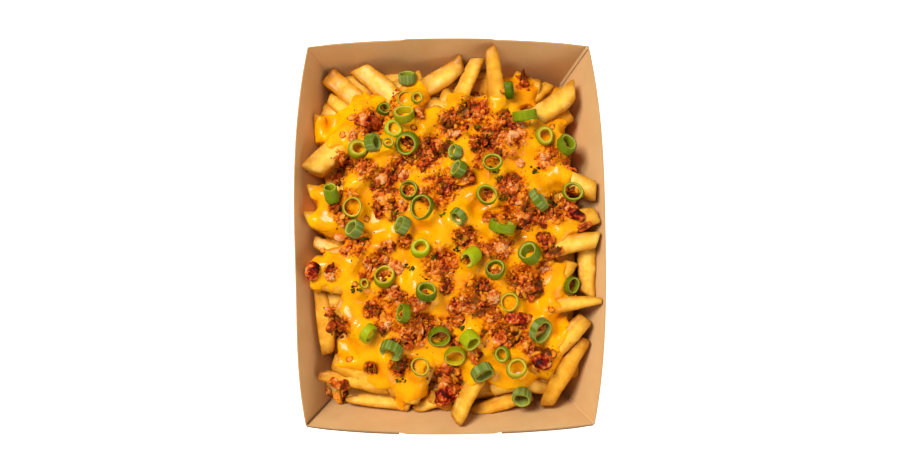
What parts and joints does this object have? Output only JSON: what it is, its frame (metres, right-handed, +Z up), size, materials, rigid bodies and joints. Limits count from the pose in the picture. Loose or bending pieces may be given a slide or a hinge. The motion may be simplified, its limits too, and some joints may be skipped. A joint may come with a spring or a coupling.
{
  "type": "cheese fries",
  "caption": "Open folded board tray of thick-cut fries under cheese sauce, topped with crumbled bacon and sliced spring onion.",
  "frame": {"origin": "middle of the tray's underside", "axes": "+X across the tray, +Y along its length towards the top of the picture, +Z up"},
  "size_m": [0.1488, 0.188, 0.0577],
  "materials": {
    "kraft_board": "matte",
    "fried_potato": "satin",
    "cheese_sauce": "gloss",
    "crisp_bacon": "satin",
    "spring_onion": "satin"
  },
  "bodies": {
    "root": {"tray": "kraft_board", "fries": "fried_potato", "cheese_sauce": "cheese_sauce", "bacon_piece_1": "crisp_bacon", "bacon_piece_2": "crisp_bacon", "bacon_piece_3": "crisp_bacon", "bacon_piece_4": "crisp_bacon", "bacon_piece_5": "crisp_bacon", "bacon_piece_6": "crisp_bacon", "onion_slice_01": "spring_onion", "onion_slice_02": "spring_onion", "onion_slice_03": "spring_onion", "onion_slice_04": "spring_onion", "onion_slice_05": "spring_onion", "onion_slice_06": "spring_onion", "onion_slice_07": "spring_onion", "onion_slice_08": "spring_onion", "onion_slice_09": "spring_onion", "onion_slice_10": "spring_onion", "onion_slice_11": "spring_onion", "onion_slice_12": "spring_onion", "onion_slice_13": "spring_onion", "onion_slice_14": "spring_onion", "onion_slice_15": "spring_onion", "onion_slice_16": "spring_onion", "onion_slice_17": "spring_onion", "onion_slice_18": "spring_onion", "onion_slice_19": "spring_onion", "onion_slice_20": "spring_onion", "onion_slice_21": "spring_onion", "onion_slice_22": "spring_onion", "onion_slice_23": "spring_onion", "onion_slice_24": "spring_onion", "onion_slice_25": "spring_onion", "onion_slice_26": "spring_onion", "onion_slice_27": "spring_onion", "onion_slice_28": "spring_onion", "onion_slice_29": "spring_onion", "onion_slice_30": "spring_onion", "onion_slice_31": "spring_onion", "onion_slice_32": "spring_onion", "onion_slice_33": "spring_onion", "onion_slice_34": "spring_onion", "onion_slice_35": "spring_onion", "onion_slice_36": "spring_onion", "onion_slice_37": "spring_onion", "onion_slice_38": "spring_onion", "onion_slice_39": "spring_onion", "onion_slice_40": "spring_onion", "onion_slice_41": "spring_onion", "onion_slice_42": "spring_onion", "onion_slice_43": "spring_onion", "onion_slice_44": "spring_onion", "onion_slice_45": "spring_onion", "onion_slice_46": "spring_onion", "onion_slice_47": "spring_onion", "onion_slice_48": "spring_onion", "onion_slice_49": "spring_onion"}
  },
  "joints": []
}
